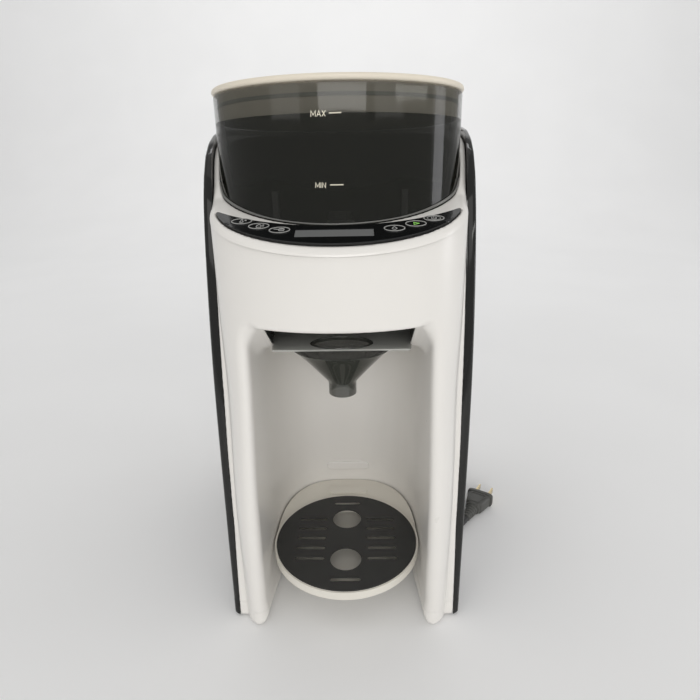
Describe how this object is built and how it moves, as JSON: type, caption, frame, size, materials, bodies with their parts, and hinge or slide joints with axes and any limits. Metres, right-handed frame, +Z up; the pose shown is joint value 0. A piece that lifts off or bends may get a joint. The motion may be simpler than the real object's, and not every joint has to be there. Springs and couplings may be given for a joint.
{
  "type": "baby formula maker",
  "caption": "Table-top formula maker: smoke powder container over a sloping control deck, drawer funnel, bottle bay with drip tray, and a water tank behind.",
  "frame": {"origin": "on the table, under the centre of the machine box (mains lead left out)", "axes": "+Z up, +X to the right seen from the user, +Y from the user to the back"},
  "size_m": [0.249, 0.4458, 0.3741],
  "materials": {
    "white": "gloss warm white moulded plastic",
    "cream": "satin cream moulded plastic",
    "black": "high gloss black plastic",
    "smoke": "transparent smoke plastic",
    "smoke_clear": "transparent blue-grey plastic",
    "mat_black": "fine textured matt black plastic",
    "display": "blank silver-grey display film under clear plastic",
    "board": "green circuit board",
    "rubber": "matt rubber",
    "seal": "grey translucent silicone",
    "steel": "plain steel",
    "grey": "grey moulded plastic",
    "silicone": "milky silicone tube",
    "alu": "cast aluminium",
    "cord": "black flexible sheath"
  },
  "bodies": {
    "machine": {"assembly_screws": "steel", "base_plate": "grey", "chassis": "grey", "container_seat": "grey", "control_bezel": "white", "control_panel": "black", "cord_coil": "cord", "cord_gland": "cord", "display_module": "grey", "display_window": "display", "drive_motor": "steel", "front_housing": "white", "gearbox": "grey", "heater_block": "alu", "heater_tube": "silicone", "lead_a": "cord", "lead_b": "cord", "main_board": "board", "mains_plug": "cord", "powder_chute": "white", "rear_cap": "white", "rear_housing": "white", "rubber_feet": "rubber", "shaft_bush": "grey", "side_panel_left": "black", "side_panel_right": "black", "tank_tube": "silicone", "ui_board": "board", "valve_seat": "grey", "water_pump": "grey", "water_spout": "silicone"},
    "coupling": {"drive_coupling": "steel"},
    "container": {"powder_container": "smoke", "hopper_floor": "smoke_clear"},
    "dosing": {"dosing_wheel": "white", "stirrer": "white", "hub_nut": "grey"},
    "lid": {"container_lid": "cream", "lid_seal": "seal"},
    "funnel": {"funnel_body": "smoke", "funnel_cover": "smoke"},
    "tray": {"drip_tray": "white"},
    "mat": {"tray_mat": "mat_black"},
    "tank": {"water_tank": "smoke_clear", "tank_lid_pin": "steel"},
    "tank_cover": {"tank_lid": "smoke_clear"},
    "valve": {"tank_valve": "silicone"},
    "key_1": {"button_1": "black"},
    "key_2": {"button_2": "black"},
    "key_3": {"button_3": "black"},
    "key_4": {"button_4": "black"},
    "key_5": {"button_5": "black"},
    "key_6": {"button_6": "black"}
  },
  "joints": [
    {"name": "key_1_press", "type": "slide", "parent": "machine", "child": "key_1", "axis": [0, 0.3134, -0.9496], "range_m": [0, 0.0008], "stiffness_N_per_m": 300},
    {"name": "key_2_press", "type": "slide", "parent": "machine", "child": "key_2", "axis": [0, 0.3134, -0.9496], "range_m": [0, 0.0008], "stiffness_N_per_m": 300},
    {"name": "key_3_press", "type": "slide", "parent": "machine", "child": "key_3", "axis": [0, 0.3134, -0.9496], "range_m": [0, 0.0008], "stiffness_N_per_m": 300},
    {"name": "key_4_press", "type": "slide", "parent": "machine", "child": "key_4", "axis": [0, 0.3134, -0.9496], "range_m": [0, 0.0008], "stiffness_N_per_m": 300},
    {"name": "key_5_press", "type": "slide", "parent": "machine", "child": "key_5", "axis": [0, 0.3134, -0.9496], "range_m": [0, 0.0008], "stiffness_N_per_m": 300},
    {"name": "key_6_press", "type": "slide", "parent": "machine", "child": "key_6", "axis": [0, 0.3134, -0.9496], "range_m": [0, 0.0008], "stiffness_N_per_m": 300},
    {"name": "container_lift", "type": "slide", "parent": "machine", "child": "container", "axis": [0, 0, 1], "range_m": [0, 0.12]},
    {"name": "container_lid_lift", "type": "slide", "parent": "container", "child": "lid", "axis": [0, 0, 1], "range_m": [0, 0.06]},
    {"name": "drive_spin", "type": "hinge", "parent": "machine", "child": "coupling", "pos_m": [0, -0.056, 0.25], "axis": [0, 0, 1], "continuous": true},
    {"name": "dosing_spin", "type": "hinge", "parent": "container", "child": "dosing", "pos_m": [0, -0.056, 0.27], "axis": [0, 0, 1], "continuous": true},
    {"name": "funnel_pull", "type": "slide", "parent": "machine", "child": "funnel", "axis": [0, -1, 0], "range_m": [0, 0.12]},
    {"name": "tray_pull", "type": "slide", "parent": "machine", "child": "tray", "axis": [0, -1, 0], "range_m": [0, 0.12]},
    {"name": "mat_lift", "type": "slide", "parent": "tray", "child": "mat", "axis": [0, 0, 1], "range_m": [0, 0.03]},
    {"name": "tank_lift", "type": "slide", "parent": "machine", "child": "tank", "axis": [0, 0, 1], "range_m": [0, 0.15]},
    {"name": "tank_cover_hinge", "type": "hinge", "parent": "tank", "child": "tank_cover", "pos_m": [0, 0.069, 0.3486], "axis": [1, 0, 0], "range_deg": [0, 100]},
    {"name": "valve_press", "type": "slide", "parent": "tank", "child": "valve", "axis": [0, 0, 1], "range_m": [0, 0.0025], "stiffness_N_per_m": 200}
  ],
  "couplings": [
    {"joint": "dosing_spin", "follows": "drive_spin", "ratio": 1}
  ]
}
